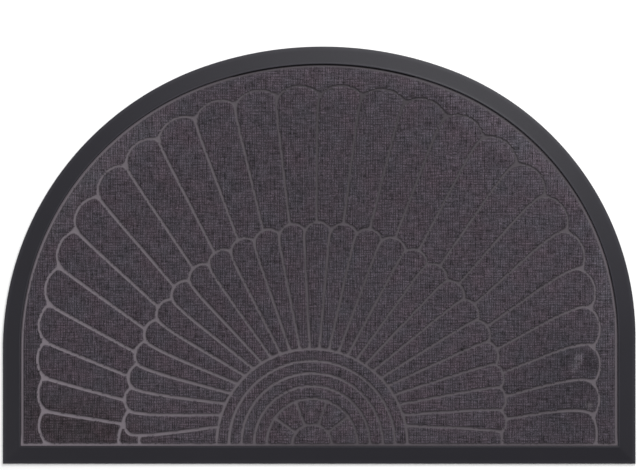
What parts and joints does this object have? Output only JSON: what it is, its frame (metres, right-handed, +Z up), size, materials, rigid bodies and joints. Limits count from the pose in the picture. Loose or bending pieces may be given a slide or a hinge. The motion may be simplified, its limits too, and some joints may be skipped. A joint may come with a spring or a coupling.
{
  "type": "half-round doormat",
  "caption": "Half-round entrance doormat: a rubber base with a raised bevelled border frames a short-pile carpet inlay pressed with a fan of petals.",
  "frame": {"origin": "on the floor, under the middle of the outline's box", "axes": "+X along the straight edge to the right, +Y from the straight edge towards the top of the arch, +Z up through the pile"},
  "size_m": [0.9, 0.5935, 0.0065],
  "materials": {
    "rubber": "moulded charcoal rubber with a fine grain, satin, a little lighter on its worn edges",
    "pile": "short dense charcoal pile with a faint purple cast and a fine ribbed weave, flatter and lighter in the pressed grooves"
  },
  "bodies": {
    "root": {"rubber_base": "rubber", "carpet_inlay": "pile"}
  },
  "joints": []
}
